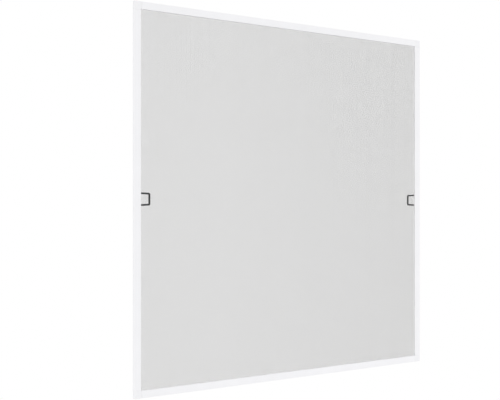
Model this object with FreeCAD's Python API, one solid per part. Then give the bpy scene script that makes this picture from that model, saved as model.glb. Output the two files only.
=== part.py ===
"""Insect screen frame for a window, with mesh, pull loops, brush seals and hook brackets.

Millimetres. X is the width, Z is up, and the front, which faces outdoors, looks along -Y.
The origin is the middle of the bottom edge, halfway through the profile's depth.

Each side of the frame is modelled lying along X as the bottom rail lies, and is then turned
about Y to its place. There s runs along the side from its middle, u runs inwards from the
outer edge, and v runs back from the front face.
"""

import FreeCAD
import Part

import os

from FreeCAD import Placement, Rotation, Vector

# Overall size
WIDTH = 1100.0
HEIGHT = 1200.0

# Extruded profile
WALL = 1.2
LAND_WIDTH = 8.4
CHAMBER_DEPTH = 3.8
FRONT_ROUNDING = 0.6
GROOVE_WIDTH = 5.0
RIM_STEP = 0.7
BEAD_HEIGHT = 0.3
BEAD_DEPTH = 0.8
SLOT_WIDTH = 6.0
SLOT_DEPTH = 1.0
SLOT_MOUTH = 4.0
SLOT_LIP = 0.8

# Corner connectors
HEAD_REACH = 2.5
HEAD_ROUNDING = 1.5
HEAD_BEVEL = 0.4
HEAD_FLOOR = 2.4
JOINT_GAP = 0.15
CORES_PER_SIDE = 3
LEG_LENGTH = 45.0
LEG_GAP = 0.3
LEG_LEAD = 4.0
LEG_TAPER = 0.8
LEG_CORES = 4
LEG_RIM = 2.0
LEG_FLOOR = 1.4
BARB_PITCH = 9.0
BARB_LENGTH = 2.5
BARB_GAP = 0.05

# Insect mesh
MESH_THICKNESS = 0.3
TUCK_GAP = 0.05
TUCK_HEIGHT = 3.6
GRID_COLUMNS = 11
GRID_ROWS = 12
GRID_BAR = 3.0

# Spline cord
SPLINE_GAP = 0.05
SPLINE_HEIGHT = 3.7
SPLINE_TEETH = 3
SPLINE_TOOTH = 0.25
SPLINE_END_GAP = 0.2

# Pull loops
LOOP_RISE = 2.5
LOOP_HEIGHT = 41.5
LOOP_REACH = 31.0
LOOP_ARM = 5.2
LOOP_BAR = 5.6
LOOP_TAPER = 1.5
LOOP_THICKNESS = 3.0
LOOP_CORNER = 5.5
LOOP_INNER_CORNER = 1.5
LOOP_EDGE = 0.7
LOOP_FOOT = 6.0
LOOP_MESH_GAP = 0.2

# Brush seals
BRUSH_SIDE_GAP = 0.1
BRUSH_BASE = 0.8
BRUSH_PILE_WIDTH = 3.0
BRUSH_TIP_WIDTH = 2.2
BRUSH_REACH = 5.0

# Hanging brackets
BRACKET_INSET = 180.0
BRACKET_WIDTH = 30.0
BRACKET_THICKNESS = 1.5
BRACKET_GAP = 0.3
BRACKET_BEND = 1.0
BRACKET_CORNER = 3.0
HOOK_GAP = 20.0
HOOK_END = 0.7

# Bracket screws
SCREW_SPACING = 16.0
SCREW_SHANK = 2.9
SCREW_HEAD = 5.2
SCREW_HEAD_HEIGHT = 1.8
SCREW_HEAD_BEVEL = 0.8
SCREW_LENGTH = 4.5
SCREW_HOLE_GAP = 0.3
SCREW_PILOT_GAP = 0.05

# Places across the profile, measured inwards from the outer edge
SLOT_OUTER = WALL
SLOT_INNER = SLOT_OUTER + SLOT_WIDTH
MOUTH_OUTER = SLOT_OUTER + (SLOT_WIDTH - SLOT_MOUTH) / 2
MOUTH_INNER = MOUTH_OUTER + SLOT_MOUTH
LAND_OUTER = SLOT_INNER + WALL
GROOVE_OUTER = LAND_OUTER + LAND_WIDTH
GROOVE_INNER = GROOVE_OUTER + GROOVE_WIDTH
FACE_WIDTH = GROOVE_INNER + WALL
CHAMBER_INNER = GROOVE_OUTER - WALL

# Places through the profile, measured back from the front face
CHAMBER_BACK = WALL + CHAMBER_DEPTH
LAND = CHAMBER_BACK + WALL
SLOT_BACK = LAND + SLOT_DEPTH
DEPTH = SLOT_BACK + SLOT_LIP
RIM = LAND - RIM_STEP
MID_DEPTH = DEPTH / 2

# Cord, mesh and loop foot share the groove between its two beads
TUCK_OUTER = GROOVE_OUTER + BEAD_HEIGHT + TUCK_GAP
TUCK_INNER = GROOVE_INNER - BEAD_HEIGHT - TUCK_GAP
CORD_OUTER = TUCK_OUTER + MESH_THICKNESS + SPLINE_GAP
CORD_INNER = TUCK_INNER - MESH_THICKNESS - SPLINE_GAP
TUCK_FLOOR = WALL + TUCK_GAP
CORD_FLOOR = TUCK_FLOOR + MESH_THICKNESS + SPLINE_GAP
MESH_BACK = RIM + MESH_THICKNESS

HEAD_SIZE = FACE_WIDTH + HEAD_REACH
RAIL_LENGTH = WIDTH - 2 * (HEAD_SIZE + JOINT_GAP)
STILE_LENGTH = HEIGHT - 2 * (HEAD_SIZE + JOINT_GAP)
LOOP_FOOT_LENGTH = LOOP_HEIGHT + 2 * LOOP_FOOT
LOOP_FRONT = MESH_BACK + LOOP_MESH_GAP

# The bracket's web and foot, and the line of its screws midway along the foot's flat
WEB_OUTER = LAND_OUTER + BRACKET_GAP
WEB_INNER = WEB_OUTER + BRACKET_THICKNESS
FOOT_END = GROOVE_OUTER - BRACKET_GAP
SCREW_LINE = (WEB_INNER + BRACKET_BEND + FOOT_END) / 2

ALONG = Vector(1, 0, 0)
INWARD = Vector(0, 0, 1)
BACKWARD = Vector(0, 1, 0)
NEAR = 1e-4
BEYOND = 1.0

# Where each side and corner of the frame lies: its origin, and its turn about Y in degrees
SIDES = {
    "bottom": (Vector(0, 0, 0), 0),
    "right": (Vector(WIDTH / 2, 0, HEIGHT / 2), -90),
    "top": (Vector(0, 0, HEIGHT), 180),
    "left": (Vector(-WIDTH / 2, 0, HEIGHT / 2), 90),
}
CORNERS = {
    "bottom_left": (Vector(-WIDTH / 2, 0, 0), 0),
    "bottom_right": (Vector(WIDTH / 2, 0, 0), -90),
    "top_right": (Vector(WIDTH / 2, 0, HEIGHT), 180),
    "top_left": (Vector(-WIDTH / 2, 0, HEIGHT), 90),
}

# The sign of s that points up on a stile and left on a rail
UPWARD = {"left": -1, "right": 1}
LEFTWARD = {"bottom": -1, "top": 1}


def spot(s, u, v):
    """A point of a side, as a vector."""
    return Vector(s, v - MID_DEPTH, u)


def block(s, u, v):
    """A box between two values along each direction of a side."""
    return Part.makeBox(s[1] - s[0], v[1] - v[0], u[1] - u[0], spot(s[0], u[0], v[0]))


def extrusion(section, s):
    """A closed outline of (u, v) points, drawn out along the side."""
    points = [spot(s[0], u, v) for u, v in section]
    return Part.Face(Part.makePolygon(points + points[:1])).extrude(ALONG * (s[1] - s[0]))


def plate(outline, v):
    """A closed outline of (s, u) points, given a thickness from front to back."""
    points = [spot(s, u, v[0]) for s, u in outline]
    return Part.Face(Part.makePolygon(points + points[:1])).extrude(BACKWARD * (v[1] - v[0]))


def edges_through(shape, direction, spots):
    """The straight edges that run in one direction through the given spots."""
    edges = []
    for edge in shape.Edges:
        ends = [vertex.Point for vertex in edge.Vertexes]
        if len(ends) != 2 or (ends[1] - ends[0]).cross(direction).Length > NEAR:
            continue
        if any((ends[0] - place).cross(direction).Length < NEAR for place in spots):
            edges.append(edge)
    return edges


def rounded(shape, direction, spots, radius):
    """Round the straight edges that run in one direction through the given spots."""
    return shape.makeFillet(radius, edges_through(shape, direction, spots))


def edges_at_depth(shape, v):
    """The edges that lie flat at one depth."""
    return [edge for edge in shape.Edges
            if all(abs(vertex.Y - (v - MID_DEPTH)) < NEAR for vertex in edge.Vertexes)]


def placed(shape, place):
    """Turn and move a shape from where it is modelled to its place on the frame."""
    origin, turn = place
    moved = shape.copy()
    moved.Placement = Placement(origin, Rotation(BACKWARD, turn))
    return moved


def merged(base, others):
    """Join shapes that meet into one solid, without seams."""
    return base.multiFuse(others).removeSplitter()


def profile(length):
    """A length of the hollow profile, with its spline groove and its brush slot."""
    section = [
        (0, 0),
        (FACE_WIDTH, 0),
        (FACE_WIDTH, RIM),
        (GROOVE_INNER - BEAD_HEIGHT, RIM),
        (GROOVE_INNER - BEAD_HEIGHT, RIM - BEAD_DEPTH / 2),
        (GROOVE_INNER, RIM - BEAD_DEPTH),
        (GROOVE_INNER, WALL),
        (GROOVE_OUTER, WALL),
        (GROOVE_OUTER, LAND - BEAD_DEPTH),
        (GROOVE_OUTER + BEAD_HEIGHT, LAND - BEAD_DEPTH / 2),
        (GROOVE_OUTER + BEAD_HEIGHT, LAND),
        (LAND_OUTER, LAND),
        (LAND_OUTER, DEPTH),
        (MOUTH_INNER, DEPTH),
        (MOUTH_INNER, SLOT_BACK),
        (SLOT_INNER, SLOT_BACK),
        (SLOT_INNER, LAND),
        (SLOT_OUTER, LAND),
        (SLOT_OUTER, SLOT_BACK),
        (MOUTH_OUTER, SLOT_BACK),
        (MOUTH_OUTER, DEPTH),
        (0, DEPTH),
    ]
    span = (-length / 2, length / 2)
    bar = extrusion(section, span)
    bar = rounded(bar, ALONG, [spot(0, 0, 0), spot(0, FACE_WIDTH, 0)], FRONT_ROUNDING)
    return bar.cut(block(span, (WALL, CHAMBER_INNER), (WALL, CHAMBER_BACK)))


def screw_places(side):
    """How far along a rail each bracket's screws stand."""
    middle = LEFTWARD[side] * (WIDTH / 2 - BRACKET_INSET)
    return [sign * middle + offset
            for sign in (1, -1) for offset in (-SCREW_SPACING / 2, SCREW_SPACING / 2)]


def rail(side):
    """A rail with the pilot holes of its bracket screws."""
    bar = profile(RAIL_LENGTH)
    radius = SCREW_SHANK / 2 + SCREW_PILOT_GAP
    pilots = [Part.makeCylinder(radius, WALL + BEYOND, spot(s, SCREW_LINE, CHAMBER_BACK), BACKWARD)
              for s in screw_places(side)]
    return bar.cut(pilots)


def corner_square(u, v):
    """A square block over a corner, from u along both its sides to past the head."""
    far = HEAD_SIZE + BEYOND
    return block((u, far), (u, far), v)


def connector_head():
    """The moulded head: the profile's outline turned round the corner, cored at the back."""
    full = (0, HEAD_SIZE)
    head = block(full, full, (0, DEPTH)).cut(corner_square(FACE_WIDTH, (-BEYOND, DEPTH + BEYOND)))
    head = rounded(head, BACKWARD, [spot(0, 0, 0)], HEAD_ROUNDING)
    head = head.makeChamfer(HEAD_BEVEL, edges_at_depth(head, 0))
    land = corner_square(LAND_OUTER, (LAND, DEPTH + BEYOND))
    rim = corner_square(GROOVE_INNER, (RIM, DEPTH + BEYOND))
    groove = corner_square(GROOVE_OUTER, (WALL, DEPTH + BEYOND))
    groove = groove.cut(corner_square(GROOVE_INNER, (0, DEPTH + BEYOND)))
    head = head.cut([land, rim, groove])
    size = (GROOVE_OUTER - (CORES_PER_SIDE + 1) * WALL) / CORES_PER_SIDE
    starts = [WALL + number * (size + WALL) for number in range(CORES_PER_SIDE)]
    cores = [block((s, s + size), (u, u + size), (HEAD_FLOOR, DEPTH + BEYOND))
             for s in starts for u in starts]
    return head.cut(cores)


def connector_leg():
    """A leg along s: a cored tongue with a tapered end, and barbs that grip the chamber."""
    edges = (WALL + LEG_GAP, CHAMBER_INNER - LEG_GAP)
    front, back = WALL + LEG_GAP, CHAMBER_BACK - LEG_GAP
    start, end = HEAD_SIZE, HEAD_SIZE + LEG_LENGTH
    lead = end - LEG_LEAD
    outline = [
        (start, edges[0]),
        (lead, edges[0]),
        (end, edges[0] + LEG_TAPER),
        (end, edges[1] - LEG_TAPER),
        (lead, edges[1]),
        (start, edges[1]),
    ]
    leg = plate(outline, (front, back))
    room = lead - start - (LEG_CORES + 1) * LEG_RIM
    length = room / LEG_CORES
    core_starts = [start + LEG_RIM + number * (length + LEG_RIM) for number in range(LEG_CORES)]
    width = (edges[0] + LEG_RIM, edges[1] - LEG_RIM)
    leg = leg.cut([block((s, s + length), width, (front + LEG_FLOOR, back + BEYOND))
                   for s in core_starts])
    barbs = []
    for number in range(int((lead - start - BARB_LENGTH) // BARB_PITCH)):
        foot = start + (number + 1) * BARB_PITCH
        for edge, wall in zip(edges, (WALL + BARB_GAP, CHAMBER_INNER - BARB_GAP)):
            barbs.append(plate([(foot, edge), (foot, wall), (foot + BARB_LENGTH, edge)],
                               (front, back)))
    return merged(leg, barbs)


def corner_connector():
    """One connector, with a leg into the rail and its mirror image into the stile."""
    leg = connector_leg()
    other = leg.mirror(Vector(0, 0, 0), ALONG - INWARD)
    return merged(connector_head(), [leg, other])


def ring(u, v):
    """A rectangular band all round the frame, between two distances from its outer edge."""
    def slab(inset, depth):
        return Part.makeBox(WIDTH - 2 * inset, depth[1] - depth[0], HEIGHT - 2 * inset,
                            Vector(inset - WIDTH / 2, depth[0] - MID_DEPTH, inset))
    return slab(u[0], v).cut(slab(u[1], (v[0] - BEYOND, v[1] + BEYOND)))


def insect_mesh():
    """The cloth as one thin grid, with its edge turned down into the groove."""
    edge = TUCK_INNER - MESH_THICKNESS
    wide, high = WIDTH - 2 * FACE_WIDTH, HEIGHT - 2 * FACE_WIDTH
    front = RIM - MID_DEPTH
    sheet = Part.makeBox(WIDTH - 2 * edge, MESH_THICKNESS, HEIGHT - 2 * edge,
                         Vector(edge - WIDTH / 2, front, edge))
    tuck = [
        ring((edge, TUCK_INNER), (TUCK_FLOOR, MESH_BACK)),
        ring((TUCK_OUTER, TUCK_INNER), (TUCK_FLOOR, TUCK_FLOOR + MESH_THICKNESS)),
        ring((TUCK_OUTER, TUCK_OUTER + MESH_THICKNESS), (TUCK_FLOOR, TUCK_FLOOR + TUCK_HEIGHT)),
    ]
    column, row = wide / GRID_COLUMNS, high / GRID_ROWS
    openings = [Part.makeBox(column - GRID_BAR, MESH_THICKNESS + 2 * BEYOND, row - GRID_BAR,
                             Vector(across * column + (GRID_BAR - wide) / 2, front - BEYOND,
                                    FACE_WIDTH + up * row + GRID_BAR / 2))
                for across in range(GRID_COLUMNS) for up in range(GRID_ROWS)]
    return merged(sheet, tuck).cut(Part.makeCompound(openings))


def spline_cord(s):
    """A length of the cord that wedges the mesh into the groove, with toothed flanks."""
    pitch = SPLINE_HEIGHT / (SPLINE_TEETH + 1)
    rising, falling = [], []
    for number in range(SPLINE_TEETH):
        valley = CORD_FLOOR + (number + 0.5) * pitch
        crest = valley + pitch
        rising += [(CORD_INNER - SPLINE_TOOTH, valley), (CORD_INNER, crest)]
        falling += [(CORD_OUTER + SPLINE_TOOTH, valley), (CORD_OUTER, crest)]
    top = CORD_FLOOR + SPLINE_HEIGHT
    third = (CORD_INNER - CORD_OUTER) / 3
    section = [(CORD_OUTER + third, CORD_FLOOR), (CORD_INNER - third, CORD_FLOOR)]
    section += rising + [(CORD_INNER - third, top), (CORD_OUTER + third, top)]
    return extrusion(section + falling[::-1], s)


def pull_loop():
    """A C-shaped loop behind the mesh, on a foot that presses into the groove."""
    half = LOOP_HEIGHT / 2
    root, tip = CORD_OUTER, FACE_WIDTH + LOOP_REACH
    narrow = half - LOOP_TAPER
    outer = [(-half, root), (half, root), (half, FACE_WIDTH), (narrow, tip),
             (-narrow, tip), (-half, FACE_WIDTH)]
    inside, inner_tip = half - LOOP_ARM, tip - LOOP_BAR
    inner = [(-inside, root - BEYOND), (inside, root - BEYOND), (inside, FACE_WIDTH),
             (inside - LOOP_TAPER, inner_tip), (LOOP_TAPER - inside, inner_tip),
             (-inside, FACE_WIDTH)]
    thickness = (LOOP_FRONT, LOOP_FRONT + LOOP_THICKNESS)
    body = plate(outer, thickness)
    body = rounded(body, BACKWARD, [spot(narrow, tip, 0), spot(-narrow, tip, 0)], LOOP_CORNER)
    hole = plate(inner, (LOOP_FRONT - BEYOND, LOOP_FRONT + LOOP_THICKNESS + BEYOND))
    hole = rounded(hole, BACKWARD, [spot(inside - LOOP_TAPER, inner_tip, 0),
                                    spot(LOOP_TAPER - inside, inner_tip, 0)], LOOP_INNER_CORNER)
    loop = body.cut(hole)
    loop = loop.makeChamfer(LOOP_EDGE, edges_at_depth(loop, LOOP_FRONT + LOOP_THICKNESS))
    foot = block((-LOOP_FOOT_LENGTH / 2, LOOP_FOOT_LENGTH / 2), (CORD_OUTER, CORD_INNER),
                 (CORD_FLOOR, LOOP_FRONT))
    return merged(loop, [foot])


def brush_seal(length):
    """A length of brush: a backing strip held in the slot, and its pile standing out of it."""
    middle = (SLOT_OUTER + SLOT_INNER) / 2
    base = (SLOT_OUTER + BRUSH_SIDE_GAP, SLOT_INNER - BRUSH_SIDE_GAP)
    top, tip = LAND + BRUSH_BASE, DEPTH + BRUSH_REACH
    section = [
        (base[0], LAND),
        (base[1], LAND),
        (base[1], top),
        (middle + BRUSH_PILE_WIDTH / 2, top),
        (middle + BRUSH_TIP_WIDTH / 2, tip),
        (middle - BRUSH_TIP_WIDTH / 2, tip),
        (middle - BRUSH_PILE_WIDTH / 2, top),
        (base[0], top),
    ]
    return extrusion(section, (-length / 2, length / 2))


def hanging_bracket(side, middle):
    """A Z-shaped plate: a foot on the land, a web to the back and a lip that hooks outwards."""
    foot_back = LAND + BRACKET_THICKNESS
    lip_front = DEPTH + HOOK_GAP
    lip_back = lip_front + BRACKET_THICKNESS
    section = [
        (FOOT_END, LAND),
        (FOOT_END, foot_back),
        (WEB_INNER, foot_back),
        (WEB_INNER, lip_back),
        (HOOK_END, lip_back),
        (HOOK_END, lip_front),
        (WEB_OUTER, lip_front),
        (WEB_OUTER, LAND),
    ]
    ends = (middle - BRACKET_WIDTH / 2, middle + BRACKET_WIDTH / 2)
    bracket = extrusion(section, ends)
    inside = [spot(0, WEB_INNER, foot_back), spot(0, WEB_OUTER, lip_front)]
    outside = [spot(0, WEB_OUTER, LAND), spot(0, WEB_INNER, lip_back)]
    bracket = rounded(bracket, ALONG, inside, BRACKET_BEND)
    bracket = rounded(bracket, ALONG, outside, BRACKET_BEND + BRACKET_THICKNESS)
    tips = [spot(end, HOOK_END, 0) for end in ends]
    bracket = bracket.makeChamfer(BRACKET_CORNER, edges_through(bracket, BACKWARD, tips))
    radius = SCREW_SHANK / 2 + SCREW_HOLE_GAP
    holes = [Part.makeCylinder(radius, BRACKET_THICKNESS + 2 * BEYOND,
                               spot(s, SCREW_LINE, LAND - BEYOND), BACKWARD)
             for s in screw_places(side) if ends[0] < s < ends[1]]
    return bracket.cut(holes)


def pan_head_screw(s):
    """A short screw through the bracket's foot into the land."""
    seat = LAND + BRACKET_THICKNESS
    head = Part.makeCylinder(SCREW_HEAD / 2, SCREW_HEAD_HEIGHT, spot(s, SCREW_LINE, seat),
                             BACKWARD)
    crown = edges_at_depth(head, seat + SCREW_HEAD_HEIGHT)
    head = head.makeChamfer(SCREW_HEAD_BEVEL, crown[:1])
    shank = Part.makeCylinder(SCREW_SHANK / 2, SCREW_LENGTH,
                              spot(s, SCREW_LINE, seat - SCREW_LENGTH), BACKWARD)
    return merged(head, [shank])


def frame_pieces():
    """Every piece of the frame, by name."""
    pieces = {
        "top_rail": placed(rail("top"), SIDES["top"]),
        "bottom_rail": placed(rail("bottom"), SIDES["bottom"]),
        "left_stile": placed(profile(STILE_LENGTH), SIDES["left"]),
        "right_stile": placed(profile(STILE_LENGTH), SIDES["right"]),
        "insect_mesh": insect_mesh(),
    }
    for name, place in CORNERS.items():
        pieces["corner_connector_" + name] = placed(corner_connector(), place)
    for side in ("top", "bottom"):
        reach = WIDTH / 2 - CORD_OUTER
        pieces["spline_" + side] = placed(spline_cord((-reach, reach)), SIDES[side])
        pieces["brush_seal_" + side] = placed(brush_seal(RAIL_LENGTH), SIDES[side])
    for side in ("left", "right"):
        origin, turn = SIDES[side]
        loop_middle = UPWARD[side] * LOOP_RISE
        near = LOOP_FOOT_LENGTH / 2 + SPLINE_END_GAP
        far = HEIGHT / 2 - CORD_INNER - SPLINE_END_GAP
        for name, sign in (("upper", UPWARD[side]), ("lower", -UPWARD[side])):
            span = sorted((loop_middle + sign * near, sign * far))
            pieces[f"spline_{side}_{name}"] = placed(spline_cord(span), SIDES[side])
        pieces["brush_seal_" + side] = placed(brush_seal(STILE_LENGTH), SIDES[side])
        raised = (origin + Vector(0, 0, LOOP_RISE), turn)
        pieces["pull_loop_" + side] = placed(pull_loop(), raised)
    screws = []
    for side in ("top", "bottom"):
        for name, sign in (("left", LEFTWARD[side]), ("right", -LEFTWARD[side])):
            middle = sign * (WIDTH / 2 - BRACKET_INSET)
            bracket = hanging_bracket(side, middle)
            pieces[f"hanging_bracket_{side}_{name}"] = placed(bracket, SIDES[side])
        screws += [placed(pan_head_screw(s), SIDES[side]) for s in screw_places(side)]
    pieces["bracket_screws"] = Part.makeCompound(screws)
    return pieces


os.makedirs("parts", exist_ok=True)
for node, solid in frame_pieces().items():
    solid.exportStep(f"parts/{node}.step")
    print(f"{node}: {len(solid.Solids)} solid, {solid.Volume:.1f} mm3, valid {solid.isValid()}")
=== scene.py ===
"""Dresses a window insect screen: coats its profiles, strings its mesh and bristles its brushes.

Lengths are metres. X is the width, Z is up, and the front of the screen looks along -Y.
"""

import logging
import math
import random
from dataclasses import dataclass
from enum import Enum
from typing import Any, Sequence

import bmesh
import bpy
from mathutils import Matrix, Vector


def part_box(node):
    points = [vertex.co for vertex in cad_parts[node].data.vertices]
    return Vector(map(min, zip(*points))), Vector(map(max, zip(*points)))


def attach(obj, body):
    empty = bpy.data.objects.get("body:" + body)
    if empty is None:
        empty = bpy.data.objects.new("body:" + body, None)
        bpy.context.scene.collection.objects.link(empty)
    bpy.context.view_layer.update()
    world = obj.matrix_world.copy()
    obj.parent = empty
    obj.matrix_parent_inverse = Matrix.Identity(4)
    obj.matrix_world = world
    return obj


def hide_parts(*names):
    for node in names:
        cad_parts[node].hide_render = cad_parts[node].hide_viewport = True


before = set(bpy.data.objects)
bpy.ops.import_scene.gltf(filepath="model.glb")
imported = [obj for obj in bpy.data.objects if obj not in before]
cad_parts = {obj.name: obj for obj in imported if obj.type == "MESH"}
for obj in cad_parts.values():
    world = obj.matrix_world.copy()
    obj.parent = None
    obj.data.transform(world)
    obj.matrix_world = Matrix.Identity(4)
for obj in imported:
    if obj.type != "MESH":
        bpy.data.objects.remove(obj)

LOG = logging.getLogger("insect_screen")
MM = 0.001
TINY = 1e-6
# Noise seldom leaves this range, so a finish reaches both of its tones inside it
TONE_ENDS = (0.3, 0.7)
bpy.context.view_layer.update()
BODY = "root"
SIDES = ("top", "bottom", "left", "right")


class Axis(Enum):
    """The directions that a thread or a row of bristles can run in."""

    ACROSS = Vector((1, 0, 0))
    BACK = Vector((0, 1, 0))
    UP = Vector((0, 0, 1))


def linear(colour: str) -> tuple[float, float, float, float]:
    """Turn an sRGB colour into linear light.

    Args:
        colour: Six hex digits, with or without a leading hash.

    Returns:
        Red, green, blue and an alpha of one.
    """
    digits = colour.lstrip("#")
    parts = [int(digits[at:at + 2], 16) / 255 for at in (0, 2, 4)]
    light = [part / 12.92 if part <= 0.04045 else ((part + 0.055) / 1.055) ** 2.4 for part in parts]
    return (light[0], light[1], light[2], 1.0)


def add_node(tree: bpy.types.NodeTree, kind: str, settings: dict[str | int, Any] | None = None,
             links: dict[str | int, bpy.types.NodeSocket] | None = None) -> bpy.types.Node:
    """Add a node with its settings and links.

    Args:
        tree: The node tree to add to.
        kind: The node's type name.
        settings: Values of the node's properties or, failing that, of its inputs.
        links: Output sockets to link to the named inputs.

    Returns:
        The new node.
    """
    node = tree.nodes.new(kind)
    for name, value in (settings or {}).items():
        if isinstance(name, str) and hasattr(node, name):
            setattr(node, name, value)
        else:
            node.inputs[name].default_value = value
    for name, socket in (links or {}).items():
        tree.links.new(socket, node.inputs[name])
    return node


@dataclass(frozen=True)
class Finish:
    """A surface finish, with a fine relief and a slight cloud of tone over it.

    Attributes:
        name: What the finish is, in a maker's words.
        dark: The deeper end of its colour.
        light: The paler end of its colour.
        roughness: How matt it is at the paler end.
        roughness_spread: How much glossier it is at the deeper end.
        cloud_mm: The size of the patches between its two tones.
        grain_mm: The size of its relief.
        relief_mm: The height of its relief.
        metallic: One for bare metal.
        ior: Its index of refraction.
    """

    name: str
    dark: str
    light: str
    roughness: float = 0.5
    roughness_spread: float = 0.06
    cloud_mm: float = 60.0
    grain_mm: float = 1.0
    relief_mm: float = 0.01
    metallic: float = 0.0
    ior: float = 1.5

    def place(self, tree: bpy.types.NodeTree) -> bpy.types.NodeSocket:
        """Give the coordinates that the finish is laid out on."""
        return add_node(tree, "ShaderNodeTexCoord").outputs["Object"]

    def cloud(self, tree: bpy.types.NodeTree, place: bpy.types.NodeSocket) -> bpy.types.NodeSocket:
        """Give the slow change between the finish's two tones.

        Args:
            tree: The material's node tree.
            place: The coordinates that the finish is laid out on.

        Returns:
            A value that rises from the deeper tone to the paler one.
        """
        noise = add_node(tree, "ShaderNodeTexNoise",
                         {"Scale": 1 / (self.cloud_mm * MM), "Detail": 3.0, "Roughness": 0.55},
                         {"Vector": place})
        return noise.outputs["Fac"]

    def grain(self, tree: bpy.types.NodeTree, place: bpy.types.NodeSocket) -> bpy.types.NodeSocket:
        """Give the height of the finish's relief.

        Args:
            tree: The material's node tree.
            place: The coordinates that the finish is laid out on.

        Returns:
            A height from zero to one.
        """
        noise = add_node(tree, "ShaderNodeTexNoise",
                         {"Scale": 1 / (self.grain_mm * MM), "Detail": 2.0, "Roughness": 0.5},
                         {"Vector": place})
        return noise.outputs["Fac"]

    def material(self) -> bpy.types.Material:
        """Build the finish as a material.

        Returns:
            A material named after the finish.
        """
        made = bpy.data.materials.new(self.name)
        made.use_nodes = True
        tree = made.node_tree
        tree.nodes.clear()
        place = self.place(tree)
        cloud = self.cloud(tree, place)
        colour = add_node(tree, "ShaderNodeValToRGB", links={"Fac": cloud})
        for end, at, tone in zip(colour.color_ramp.elements, TONE_ENDS, (self.dark, self.light)):
            end.position, end.color = at, linear(tone)
        sheen = add_node(tree, "ShaderNodeMapRange",
                         {"To Min": self.roughness - self.roughness_spread,
                          "To Max": self.roughness}, {"Value": cloud})
        bump = add_node(tree, "ShaderNodeBump", {"Strength": 1.0, "Distance": self.relief_mm * MM},
                        {"Height": self.grain(tree, place)})
        shader = add_node(tree, "ShaderNodeBsdfPrincipled",
                          {"Metallic": self.metallic, "IOR": self.ior},
                          {"Base Color": colour.outputs["Color"],
                           "Roughness": sheen.outputs["Result"],
                           "Normal": bump.outputs["Normal"]})
        add_node(tree, "ShaderNodeOutputMaterial", links={"Surface": shader.outputs["BSDF"]})
        return made


@dataclass(frozen=True)
class StretchedFinish(Finish):
    """A finish whose grain runs in one direction, such as drawn wire, fibre or extrusion lines.

    Attributes:
        stretch: How much shorter the grain is along X, Y and Z than its size says.
    """

    stretch: tuple[float, float, float] = (1.0, 1.0, 1.0)

    def place(self, tree: bpy.types.NodeTree) -> bpy.types.NodeSocket:
        """Give coordinates squeezed across the grain."""
        mapping = add_node(tree, "ShaderNodeMapping", {"Scale": self.stretch},
                           {"Vector": super().place(tree)})
        return mapping.outputs["Vector"]


@dataclass(frozen=True)
class SpangledZinc(Finish):
    """Hot-dip zinc on sheet steel, whose crystals break the surface into dull and bright facets."""

    def cloud(self, tree: bpy.types.NodeTree, place: bpy.types.NodeSocket) -> bpy.types.NodeSocket:
        """Give one tone to each crystal."""
        cells = add_node(tree, "ShaderNodeTexVoronoi", {"Scale": 1 / (self.cloud_mm * MM)},
                         {"Vector": place})
        return add_node(tree, "ShaderNodeSeparateColor",
                        links={"Color": cells.outputs["Color"]}).outputs["Red"]


# Polyester powder, sprayed and baked on the aluminium: a satin skin with a faint orange peel
POWDER_COAT = Finish("white_powder_coat_satin", "#f1f1f3", "#f4f4f6", roughness=0.42,
                     roughness_spread=0.05, cloud_mm=90.0, grain_mm=1.6, relief_mm=0.012)
# Filled nylon, injection moulded and colour matched: flatter than the coat, with a spark texture
WHITE_NYLON = Finish("white_moulded_nylon", "#f0f0f2", "#f3f3f5", roughness=0.55,
                     cloud_mm=25.0, grain_mm=0.5, relief_mm=0.02, ior=1.53)
# Mass-coloured polypropylene from a spark-eroded mould: a soft sheen on dark grey
GREY_PLASTIC = Finish("dark_grey_moulded_polypropylene", "#3b3c3f", "#424346", roughness=0.5,
                      cloud_mm=12.0, grain_mm=0.4, relief_mm=0.03, ior=1.49)
# Glass yarn in a soft, warm charcoal vinyl coat: smooth, with a dull gloss along each thread
COATED_YARN = Finish("charcoal_vinyl_coated_glass_yarn", "#302e2a", "#383632", roughness=0.55,
                     cloud_mm=14.0, grain_mm=0.35, relief_mm=0.02, ior=1.53)
# Foamed vinyl cord, extruded: matt dark grey, faintly pitted by the foam
SPLINE_VINYL = Finish("dark_grey_extruded_vinyl_cord", "#2c2d30", "#37383b", roughness=0.78,
                      cloud_mm=9.0, grain_mm=0.6, relief_mm=0.06, ior=1.52)
# Crimped polypropylene pile: grey fibres, each a little paler or deeper than the next
BRUSH_FIBRE = Finish("grey_polypropylene_pile", "#8b8d90", "#a5a7aa", roughness=0.7,
                     cloud_mm=1.4, grain_mm=0.3, relief_mm=0.02, ior=1.49)
# Woven backing, sealed with resin under the pile
BRUSH_BACKING = StretchedFinish("grey_woven_brush_backing", "#77797c", "#85878a", roughness=0.8,
                                cloud_mm=6.0, grain_mm=0.5, relief_mm=0.05,
                                stretch=(1.0, 3.0, 1.0))
# Hot-dip galvanised strip, bent cold
GALVANISED = SpangledZinc("hot_dip_galvanised_steel", "#8f9294", "#b3b6b8", roughness=0.42,
                          roughness_spread=0.14, cloud_mm=3.5, grain_mm=1.2, relief_mm=0.01,
                          metallic=1.0)
# Barrel zinc plating on the screws: brighter, with a fine satin
BRIGHT_ZINC = Finish("bright_zinc_plated_screw", "#b4b7ba", "#c6c8ca", roughness=0.3,
                     cloud_mm=2.0, grain_mm=0.3, relief_mm=0.006, metallic=1.0)


def dress(names: Sequence[str], finish: Finish) -> None:
    """Give CAD nodes a finish in place of their plain one.

    Args:
        names: The nodes to dress.
        finish: The finish they share.
    """
    made = finish.material()
    for name in names:
        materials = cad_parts[name].data.materials
        materials.clear()
        materials.append(made)
        LOG.info("%s: %s", name, finish.name)


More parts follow.
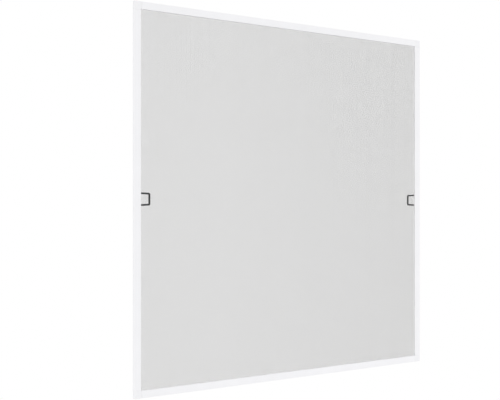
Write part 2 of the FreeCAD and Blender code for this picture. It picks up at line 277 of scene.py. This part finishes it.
def new_piece(bm: bmesh.types.BMesh, name: str, finish: Finish,
              replaced: Sequence[str] = ()) -> bpy.types.Object:
    """Turn a bmesh into a piece of the screen, in place of the nodes that it stands for.

    Args:
        bm: The piece's shape, in the screen's own place. It is freed.
        name: The piece's name.
        finish: Its finish.
        replaced: The CAD nodes that it stands for.

    Returns:
        The new object.
    """
    mesh = bpy.data.meshes.new(name)
    bm.to_mesh(mesh)
    bm.free()
    mesh.materials.append(finish.material())
    piece = bpy.data.objects.new(name, mesh)
    bpy.context.collection.objects.link(piece)
    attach(piece, BODY)
    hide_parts(*replaced)
    LOG.info("%s: %d faces, %s", name, len(mesh.polygons), finish.name)
    return piece


def repeat(bm: bmesh.types.BMesh, count: int, step: Vector) -> None:
    """Fill a bmesh with evenly spaced copies of what it holds, doubling them as it goes.

    Args:
        bm: The bmesh, which holds the first copy.
        count: How many there are in the end.
        step: The way from one copy to the next.
    """
    faces_each = len(bm.faces)
    made = 1
    while made < count:
        more = min(made, count - made)
        bm.faces.ensure_lookup_table()
        source = bm.faces[:more * faces_each]
        copies = bmesh.ops.duplicate(bm, geom=list(source))["geom"]
        bmesh.ops.translate(bm, vec=step * made,
                            verts=[part for part in copies if isinstance(part, bmesh.types.BMVert)])
        made += more


def tube(bm: bmesh.types.BMesh, path: Sequence[Vector], radius: float, sides: int) -> None:
    """Draw a closed tube along a path of straight runs.

    Args:
        bm: The bmesh to add to.
        path: The path's points.
        radius: The tube's radius.
        sides: How many sides the tube has.
    """
    ways = [(after - before).normalized() for before, after in zip(path, path[1:])]
    bends = [ways[0]] + [(a + b).normalized() for a, b in zip(ways, ways[1:])] + [ways[-1]]
    turn, last_bend, places = Axis.UP.value.rotation_difference(bends[0]), bends[0], []
    for point, bend, way in zip(path, bends, [*ways, ways[-1]]):
        turn = last_bend.rotation_difference(bend) @ turn
        # A mitred ring is longer across the bend, so that the tubes on both sides stay round
        aside = way - bend * bend.dot(way)
        stretch = Matrix.Scale(1 / bend.dot(way), 4, aside) if aside.length > TINY else Matrix()
        places.append(Matrix.Translation(point) @ stretch @ turn.to_matrix().to_4x4())
        last_bend = bend
    verts = bmesh.ops.create_circle(bm, cap_ends=True, radius=radius, segments=sides,
                                    matrix=places[0])["verts"]
    ring = list({edge for vert in verts for edge in vert.link_edges})
    for before, after in zip(places, places[1:]):
        grown = bmesh.ops.extrude_edge_only(bm, edges=ring)["geom"]
        verts = [part for part in grown if isinstance(part, bmesh.types.BMVert)]
        bmesh.ops.transform(bm, matrix=after @ before.inverted(), verts=verts)
        ring = [part for part in grown
                if isinstance(part, bmesh.types.BMEdge) and all(vert in verts for vert in part.verts)]
    bmesh.ops.edgeloop_fill(bm, edges=ring)
    bmesh.ops.recalc_face_normals(bm, faces=list(bm.faces))


@dataclass
class ScreenFrame:
    """The extruded profiles and the moulded connectors at their corners.

    Attributes:
        profiles: The four lengths of powder-coated extrusion.
        corners: The four connectors.
    """

    profiles: tuple[str, ...] = ("top_rail", "bottom_rail", "left_stile", "right_stile")
    corners: tuple[str, ...] = ("top_left", "top_right", "bottom_left", "bottom_right")

    def build(self) -> None:
        """Coat the profiles and colour the connectors to match."""
        dress(self.profiles, POWDER_COAT)
        dress([f"corner_connector_{corner}" for corner in self.corners], WHITE_NYLON)


@dataclass
class InsectMesh:
    """The coated glass-fibre cloth, thread by thread, with its ends tucked into the groove.

    Attributes:
        pitch: From one thread to the next.
        thickness: Across one thread.
        sides: How many sides a thread has.
        tuck: How far a thread's end runs down into the groove.
        step_back: How far the cross threads lie behind the upright ones.
        before_loops: How far the cloth's front lies ahead of the pull loops' backs.
        off_cord: How far a tucked thread's middle lies off the cord, in threads' thicknesses.
        wander: How far a thread may lie to either side of its even place, as in real cloth.
    """

    pitch: float = 1.5 * MM
    thickness: float = 0.25 * MM
    sides: int = 8
    tuck: float = 3.6 * MM
    step_back: float = 0.2 * MM
    before_loops: float = 3.5 * MM
    off_cord: float = 0.75
    wander: float = 0.1 * MM

    def build(self) -> bpy.types.Object:
        """String the upright threads and then the cross threads.

        Returns:
            The cloth, as one piece.
        """
        low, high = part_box("insect_mesh")
        inset = self._tuck_inset()
        left, right = low[0] + inset, high[0] - inset
        bottom, top = low[2] + inset, high[2] - inset
        front = self._plane_front() + self.thickness / 2
        cloth = bmesh.new()
        spans = ((Axis.UP, (left, right), (bottom, top), front),
                 (Axis.ACROSS, (bottom, top), (left, right), front + self.step_back))
        for run, spread, length, depth in spans:
            threads = self._threads(run, spread, length, depth)
            scratch = bpy.data.meshes.new("threads")
            threads.to_mesh(scratch)
            threads.free()
            cloth.from_mesh(scratch)
            bpy.data.meshes.remove(scratch)
        for face in cloth.faces:
            face.smooth = len(face.verts) == 4
        piece = new_piece(cloth, "woven_insect_mesh", COATED_YARN, ["insect_mesh"])
        return piece

    def _tuck_inset(self) -> float:
        """Give how far inside the solid cloth's edge the threads turn down beside the cord."""
        to_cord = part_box("spline_left_upper")[1][0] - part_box("insect_mesh")[0][0]
        return to_cord + self.off_cord * self.thickness

    def _plane_front(self) -> float:
        """Give the depth of the rim that the cloth lies on."""
        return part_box("pull_loop_left")[1][1] - self.before_loops

    def _threads(self, run: Axis, spread: tuple[float, float], length: tuple[float, float],
                 depth: float) -> bmesh.types.BMesh:
        """String parallel threads side by side.

        Args:
            run: The way that the threads run.
            spread: Where the first and the last thread may lie, across the run.
            length: Where each thread turns down into the groove, along the run.
            depth: How deep the threads' middles lie.

        Returns:
            A bmesh of all the threads.
        """
        across = Axis.ACROSS if run is Axis.UP else Axis.UP
        count = int((spread[1] - spread[0]) / self.pitch)
        first = (spread[0] + spread[1] - (count - 1) * self.pitch) / 2
        corners = [run.value * end + across.value * first + Axis.BACK.value * depth
                   for end in length]
        down = Axis.BACK.value * self.tuck
        threads = bmesh.new()
        tube(threads, [corners[0] - down, corners[0], corners[1], corners[1] - down],
             self.thickness / 2, self.sides)
        repeat(threads, count, across.value * self.pitch)
        chance = random.Random(run.name)
        strays = [chance.uniform(-self.wander, self.wander) for _ in range(count)]
        # A vertex's place across the cloth tells which thread it is on
        for vert in threads.verts:
            number = round((vert.co.dot(across.value) - first) / self.pitch)
            vert.co += across.value * strays[number]
        return threads


@dataclass
class BrushSeals:
    """The brush strips in the back slots: a woven backing and its standing pile.

    Attributes:
        backing: The backing's thickness.
        pitch: From one tuft to the next.
        rows: How many bristles deep the pile is.
        width: The pile's width where it leaves the backing.
        root: A bristle's radius where it leaves the backing. Real ones are a quarter of this,
            which is too fine to draw.
        tip: Its radius at the tip.
        sides: How many sides a bristle has.
        tile: How many tufts differ before the pattern repeats.
        lean: How far a bristle's tip may stray along the strip.
        gather: How much nearer to the middle line a bristle's tip is than its root.
        scatter: How far a bristle may stand off its place, as a share of the spacing.
        shortening: How much shorter than the tallest a bristle may be.
    """

    backing: float = 0.8 * MM
    pitch: float = 0.7 * MM
    rows: int = 4
    width: float = 3.0 * MM
    root: float = 0.2 * MM
    tip: float = 0.08 * MM
    sides: int = 3
    tile: int = 60
    lean: float = 0.35 * MM
    gather: float = 0.3
    scatter: float = 0.35
    shortening: float = 0.5 * MM

    def build(self) -> None:
        """Make the four strips."""
        for side in SIDES:
            node = f"brush_seal_{side}"
            low, high = (Vector(corner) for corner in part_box(node))
            upright = side in ("left", "right")
            run, across = (Axis.UP, Axis.ACROSS) if upright else (Axis.ACROSS, Axis.UP)
            new_piece(self._backing(low, high), f"brush_backing_{side}", BRUSH_BACKING,
                      [node])
            new_piece(self._pile(low, high, run, across), f"brush_bristles_{side}", BRUSH_FIBRE,
                      [node])

    def _backing(self, low: Vector, high: Vector) -> bmesh.types.BMesh:
        """Make the strip that the pile stands on.

        Args:
            low: The whole seal's lowest corner.
            high: Its highest corner.

        Returns:
            A bmesh of the strip, with the edges beside the pile softened.
        """
        size = Vector((high.x - low.x, self.backing, high.z - low.z))
        middle = Vector(((low.x + high.x) / 2, low.y + self.backing / 2, (low.z + high.z) / 2))
        strip = bmesh.new()
        bmesh.ops.create_cube(strip, size=1.0,
                              matrix=Matrix.Translation(middle) @ Matrix.Diagonal(size.to_4d()))
        edges = [edge for edge in strip.edges if all(vert.co.y > middle.y for vert in edge.verts)]
        bmesh.ops.bevel(strip, geom=edges, offset=self.backing / 4, segments=2, profile=0.5,
                        affect="EDGES", material=-1)
        return strip

    def _pile(self, low: Vector, high: Vector, run: Axis, across: Axis) -> bmesh.types.BMesh:
        """Plant the bristles along the strip.

        Args:
            low: The seal's lowest corner.
            high: Its highest corner.
            run: The way that the strip runs.
            across: The way over the strip.

        Returns:
            A bmesh of all the bristles.
        """
        chance = random.Random(run.name + f"{low.x:.3f}{low.z:.3f}")
        start, end = low.dot(run.value), high.dot(run.value)
        middle = (low + high).dot(across.value) / 2
        floor = low.y + self.backing - self.root
        row_step = (self.width - 2 * self.root) / self.rows
        bristles = bmesh.new()
        for tuft in range(self.tile):
            for row in range(self.rows):
                off_start = tuft + 0.5 + chance.uniform(-self.scatter, self.scatter)
                off_middle = row + 0.5 + chance.uniform(-self.scatter, self.scatter) - self.rows / 2
                along, aside = start + off_start * self.pitch, middle + row_step * off_middle
                height = high.y - floor - chance.uniform(0.0, self.shortening)
                stray = (run.value * chance.uniform(-self.lean, self.lean)
                         - across.value * self.gather * (aside - middle))
                root = run.value * along + across.value * aside + Axis.BACK.value * floor
                self._bristle(bristles, root, height, stray)
        tile_length = self.tile * self.pitch
        repeat(bristles, int((end - start) / tile_length) + 1, run.value * tile_length)
        self._trim(bristles, run, end - self.root)
        return bristles

    def _bristle(self, bristles: bmesh.types.BMesh, root: Vector, height: float,
                 stray: Vector) -> None:
        """Stand one bristle on the backing.

        Args:
            bristles: The pile to add it to.
            root: The middle of its foot.
            height: How tall it is.
            stray: How far its tip lies from straight above its foot.
        """
        verts = bmesh.ops.create_cone(bristles, cap_ends=True, segments=self.sides,
                                      radius1=self.root, radius2=self.tip, depth=height)["verts"]
        bmesh.ops.rotate(bristles, verts=verts, matrix=Matrix.Rotation(-math.pi / 2, 3, "X"),
                         cent=(0, 0, 0))
        waist = root + Axis.BACK.value * (height / 2)
        bmesh.ops.translate(bristles, verts=verts, vec=waist)
        tips = [vert for vert in verts if vert.co.y > waist.y]
        bmesh.ops.translate(bristles, verts=tips, vec=stray)

    def _trim(self, bristles: bmesh.types.BMesh, run: Axis, end: float) -> None:
        """Take out every bristle that reaches past the strip's end.

        Args:
            bristles: The pile.
            run: The way that the strip runs.
            end: How far along that way a bristle may reach.
        """
        past = [face for face in bristles.faces
                if any(vert.co.dot(run.value) > end for vert in face.verts)]
        strays = {vert for face in past for vert in face.verts}
        # Grow from the faces that are past the end to the whole of the bristles they are on
        while True:
            grown = {other for vert in strays for face in vert.link_faces for other in face.verts}
            if grown == strays:
                break
            strays = grown
        bmesh.ops.delete(bristles, geom=list(strays), context="VERTS")


@dataclass
class BracketScrews:
    """The self-tapping pan-head screws that hold the brackets.

    Attributes:
        head_radius: The head's radius.
        head_height: The head's height.
        shank_radius: The core of the shank, inside its thread.
        thread: How far the thread stands out of the core.
        pitch: The thread's pitch.
        turns: How many turns the thread makes.
        rooted: How deep the thread's foot is sunk in the core.
        point: The length of the point.
        steps: How many steps make a full turn.
        slot_width: The width of one arm of the cross recess.
        slot_length: The span of the cross recess at the head's crown.
        slot_depth: The recess's depth.
        slot_taper: The size of the recess's floor, as shares of its span, depth and width.
        dome_steps: How many steps round the head's crown from rim to top.
    """

    head_radius: float = 2.6 * MM
    head_height: float = 1.8 * MM
    shank_radius: float = 1.05 * MM
    thread: float = 0.4 * MM
    pitch: float = 1.1 * MM
    turns: float = 1.5
    rooted: float = 0.05 * MM
    point: float = 1.2 * MM
    steps: int = 32
    slot_width: float = 0.62 * MM
    slot_length: float = 2.9 * MM
    slot_depth: float = 1.1 * MM
    slot_taper: tuple[float, float, float] = (0.55, 1.0, 0.7)
    dome_steps: int = 6

    def build(self) -> bpy.types.Object:
        """Put a screw in each hole of the brackets.

        Returns:
            All the screws, as one piece.
        """
        low, high = (Vector(corner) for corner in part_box("bracket_screws"))
        seat = high.y - self.head_height
        length = seat - low.y
        screw = self._screw(length)
        joined = bmesh.new()
        for place in self._places(low, high, seat):
            start = len(joined.verts)
            joined.from_mesh(screw)
            joined.verts.ensure_lookup_table()
            bmesh.ops.translate(joined, verts=joined.verts[start:], vec=place)
        bpy.data.meshes.remove(screw)
        return new_piece(joined, "cross_recess_screws", BRIGHT_ZINC,
                         ["bracket_screws"])

    def _places(self, low: Vector, high: Vector, seat: float) -> list[Vector]:
        """List where the screws' heads sit, from the brackets' middles and the outer screws.

        Args:
            low: The lowest corner of the box round all the solid screws.
            high: Its highest corner.
            seat: How deep the undersides of the heads lie.

        Returns:
            The middle of each head's underside.
        """
        spots = []
        heights = {"top": high.z - self.head_radius, "bottom": low.z + self.head_radius}
        for side, height in heights.items():
            for end in ("left", "right"):
                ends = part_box(f"hanging_bracket_{side}_{end}")
                middle = (ends[0][0] + ends[1][0]) / 2
                offset = high.x - self.head_radius - abs(middle)
                spots += [Vector((middle + sign * offset, seat, height)) for sign in (-1, 1)]
        return spots

    def _screw(self, length: float) -> bpy.types.Mesh:
        """Make one screw pointing along -Y, with its head's underside at the origin.

        Args:
            length: From under the head to the tip.

        Returns:
            The screw's mesh.
        """
        body = bmesh.new()
        rim = self.head_height / 3
        outline = [Vector((0, -length, 0)), Vector((self.shank_radius, self.point - length, 0)),
                   Vector((self.shank_radius, 0, 0)), Vector((self.head_radius, 0, 0)),
                   Vector((self.head_radius, rim, 0))]
        bulge = self.head_height - rim
        for part in range(1, self.dome_steps + 1):
            angle = part * math.pi / 2 / self.dome_steps
            across, rise = self.head_radius * math.cos(angle), bulge * math.sin(angle)
            outline.append(Vector((across, rim + rise, 0)))
        self._turned(body, outline)
        self._thread(body, length)
        bmesh.ops.remove_doubles(body, verts=list(body.verts), dist=TINY)
        bmesh.ops.recalc_face_normals(body, faces=list(body.faces))
        mesh = bpy.data.meshes.new("screw_body")
        body.to_mesh(mesh)
        body.free()
        return self._recessed(mesh)

    def _turned(self, body: bmesh.types.BMesh, outline: Sequence[Vector]) -> None:
        """Spin an outline round Y into the screw's body.

        Args:
            body: The bmesh to add to.
            outline: The body's half section, from the point to the head's crown.
        """
        verts = [bmesh.ops.create_vert(body, co=point)["vert"][0] for point in outline]
        edges = [body.edges.new(pair) for pair in zip(verts, verts[1:])]
        bmesh.ops.spin(body, geom=verts + edges, cent=(0, 0, 0), axis=(0, 1, 0),
                       angle=2 * math.pi, steps=self.steps, use_merge=True)

    def _thread(self, body: bmesh.types.BMesh, length: float) -> None:
        """Wind a sharp ridge round the shank, from above the point to below the sheet.

        Args:
            body: The bmesh to add to.
            length: From under the head to the tip.
        """
        foot, crest = self.shank_radius - self.rooted, self.shank_radius + self.thread
        base = self.point - length
        ridge = [Vector((foot, base, 0)), Vector((crest, base + self.pitch / 4, 0)),
                 Vector((foot, base + self.pitch / 2, 0))]
        verts = [bmesh.ops.create_vert(body, co=point)["vert"][0] for point in ridge]
        face = body.faces.new(verts)
        steps = int(self.steps * self.turns)
        rise = Vector((0, self.turns * self.pitch / steps, 0))
        bmesh.ops.spin(body, geom=[*verts, *face.edges, face], cent=(0, 0, 0), dvec=rise,
                       axis=(0, 1, 0), angle=self.turns * 2 * math.pi, steps=steps,
                       use_duplicate=False)

    def _recessed(self, mesh: bpy.types.Mesh) -> bpy.types.Mesh:
        """Sink the cross recess into the head with a tapered cross.

        Args:
            mesh: The screw without its recess. It is freed.

        Returns:
            The screw's mesh with its recess.
        """
        cutter = bmesh.new()
        for turn in (0, math.pi / 2):
            arm = bmesh.ops.create_cube(cutter, size=1.0)["verts"]
            bmesh.ops.scale(cutter, verts=arm,
                            vec=(self.slot_length, 2 * self.slot_depth, self.slot_width))
            bmesh.ops.translate(cutter, verts=arm, vec=(0, self.head_height, 0))
            lower = [vert for vert in arm if vert.co.y < self.head_height]
            bmesh.ops.scale(cutter, verts=lower, vec=self.slot_taper)
            bmesh.ops.rotate(cutter, verts=arm, cent=(0, 0, 0),
                             matrix=Matrix.Rotation(turn, 3, "Y"))
        cross_mesh = bpy.data.meshes.new("cross")
        cutter.to_mesh(cross_mesh)
        cutter.free()
        screw, cross = (bpy.data.objects.new(data.name, data) for data in (mesh, cross_mesh))
        for made in (screw, cross):
            bpy.context.collection.objects.link(made)
        cut = screw.modifiers.new("recess", "BOOLEAN")
        cut.object, cut.operation, cut.solver, cut.use_self = cross, "DIFFERENCE", "EXACT", True
        bpy.context.view_layer.update()
        graph = bpy.context.evaluated_depsgraph_get()
        done = bpy.data.meshes.new_from_object(screw.evaluated_get(graph))
        for made in (screw, cross):
            data = made.data
            bpy.data.objects.remove(made)
            bpy.data.meshes.remove(data)
        return done


@dataclass
class Fittings:
    """The small parts on the back: cords in the groove, pull loops and hook brackets."""

    def build(self) -> None:
        """Give each of them its finish."""
        stiles = [f"spline_{side}_{part}" for side in ("left", "right")
                  for part in ("upper", "lower")]
        dress(["spline_top", "spline_bottom", *stiles], SPLINE_VINYL)
        dress(["pull_loop_left", "pull_loop_right"], GREY_PLASTIC)
        dress([f"hanging_bracket_{side}_{end}" for side in ("top", "bottom")
               for end in ("left", "right")], GALVANISED)


@dataclass(frozen=True)
class Lamp:
    """A far, broad and soft lamp.

    Attributes:
        name: The lamp's name.
        towards: The way to the lamp from the screen.
        strength: Its strength in watts per square metre.
        softness: How wide it looks from the screen, in degrees.
    """

    name: str
    towards: tuple[float, float, float]
    strength: float
    softness: float = 40.0

    def hang(self) -> None:
        """Add the lamp to the scene, turned towards the screen."""
        data = bpy.data.lights.new(self.name, "SUN")
        data.energy, data.angle = self.strength, math.radians(self.softness)
        lamp = bpy.data.objects.new(self.name, data)
        lamp.rotation_euler = (-Vector(self.towards)).to_track_quat("-Z", "Y").to_euler()
        bpy.context.collection.objects.link(lamp)


@dataclass
class Studio:
    """The plain pale room: camera, floor, lamps and white surroundings.

    Attributes:
        place: Where the camera stands.
        heading: How far it looks to the right of straight ahead, in degrees.
        lens_mm: Its focal length.
        sensor_mm: The width of its sensor.
        rise: Its vertical shift, as a share of the picture's width.
        floor_drop: How far the floor lies below the screen, which hangs.
        floor_radius: How far the floor reaches.
        floor_sides: How many sides the round floor has.
        floor_colour: The floor's own colour.
        floor_white: How much of the white beyond the floor shows through it to the eye.
        ambience: How strong the light from all round is.
        lamps: The lamps, of which the first is the brightest.
    """

    place: tuple[float, float, float] = (-1.1087, -1.9251, 0.5845)
    heading: float = 26.285
    lens_mm: float = 47.192
    sensor_mm: float = 36.0
    rise: float = 0.01009
    floor_drop: float = 0.9
    floor_radius: float = 2.4
    floor_sides: int = 96
    floor_colour: str = "#f7f7f8"
    floor_white: float = 0.8
    ambience: float = 0.72
    lamps: tuple[Lamp, ...] = (Lamp("key", (-2.8, -2.8, 0.6), 0.95),
                               Lamp("fill", (3.0, -3.0, 0.4), 0.2),
                               Lamp("back", (1.0, 3.0, 2.5), 0.6))

    def build(self) -> None:
        """Set up the room and its colours."""
        scene = bpy.context.scene
        scene.view_settings.view_transform = "Standard"
        self._camera(scene)
        self._surroundings(scene)
        self._floor()
        for lamp in self.lamps:
            lamp.hang()

    def _camera(self, scene: bpy.types.Scene) -> None:
        """Stand the camera where it sees the screen from the left, level with its middle.

        Args:
            scene: The scene that it takes the picture of.
        """
        data = bpy.data.cameras.new("camera")
        data.lens, data.sensor_width, data.shift_y = self.lens_mm, self.sensor_mm, self.rise
        camera = bpy.data.objects.new("camera", data)
        camera.location = self.place
        camera.rotation_euler = (math.pi / 2, 0, -math.radians(self.heading))
        bpy.context.collection.objects.link(camera)
        scene.camera = camera

    def _surroundings(self, scene: bpy.types.Scene) -> None:
        """Light softly from all round, and show plain white behind the screen.

        Args:
            scene: The scene that gets the surroundings.
        """
        world = bpy.data.worlds.new("pale_room")
        world.use_nodes = True
        tree = world.node_tree
        tree.nodes.clear()
        white_light = linear("#ffffff")
        soft = add_node(tree, "ShaderNodeBackground",
                        {"Color": white_light, "Strength": self.ambience})
        white = add_node(tree, "ShaderNodeBackground", {"Color": white_light, "Strength": 1.0})
        seen = self._seen(tree)
        mix = add_node(tree, "ShaderNodeMixShader",
                       links={0: seen, 1: soft.outputs[0], 2: white.outputs[0]})
        add_node(tree, "ShaderNodeOutputWorld", links={"Surface": mix.outputs[0]})
        scene.world = world

    def _seen(self, tree: bpy.types.NodeTree) -> bpy.types.NodeSocket:
        """Tell the rays that show the surroundings from those that light by them.

        Args:
            tree: The node tree to add to.

        Returns:
            One for a ray that shows them, and zero for any other.
        """
        path = add_node(tree, "ShaderNodeLightPath")
        first = add_node(tree, "ShaderNodeMath", {"operation": "MAXIMUM"},
                         {0: path.outputs["Is Camera Ray"], 1: path.outputs["Is Glossy Ray"]})
        both = add_node(tree, "ShaderNodeMath", {"operation": "MAXIMUM"},
                        {0: first.outputs[0], 1: path.outputs["Is Transmission Ray"]})
        return both.outputs[0]

    def _floor(self) -> None:
        """Lay a pale round floor under the screen, through which the white beyond it shows."""
        disc = bmesh.new()
        bmesh.ops.create_circle(disc, cap_ends=True, radius=self.floor_radius,
                                segments=self.floor_sides)
        bmesh.ops.translate(disc, verts=list(disc.verts), vec=(0, 0, -self.floor_drop))
        mesh = bpy.data.meshes.new("floor")
        disc.to_mesh(mesh)
        disc.free()
        floor = bpy.data.objects.new("floor", mesh)
        bpy.context.collection.objects.link(floor)
        made = bpy.data.materials.new("pale_floor")
        made.use_nodes = True
        tree = made.node_tree
        tree.nodes.clear()
        matt = add_node(tree, "ShaderNodeBsdfDiffuse", {"Color": linear(self.floor_colour)})
        clear = add_node(tree, "ShaderNodeBsdfTransparent")
        share = add_node(tree, "ShaderNodeMath", {"operation": "MULTIPLY", 1: self.floor_white},
                         {0: self._seen(tree)})
        mix = add_node(tree, "ShaderNodeMixShader",
                       links={0: share.outputs[0], 1: matt.outputs[0], 2: clear.outputs[0]})
        add_node(tree, "ShaderNodeOutputMaterial", links={"Surface": mix.outputs[0]})
        mesh.materials.append(made)


def main() -> None:
    """Dress the screen, piece by piece."""
    logging.basicConfig(level=logging.INFO, format="%(message)s")
    Studio().build()
    ScreenFrame().build()
    InsectMesh().build()
    BrushSeals().build()
    Fittings().build()
    BracketScrews().build()


if __name__ == "__main__":
    main()
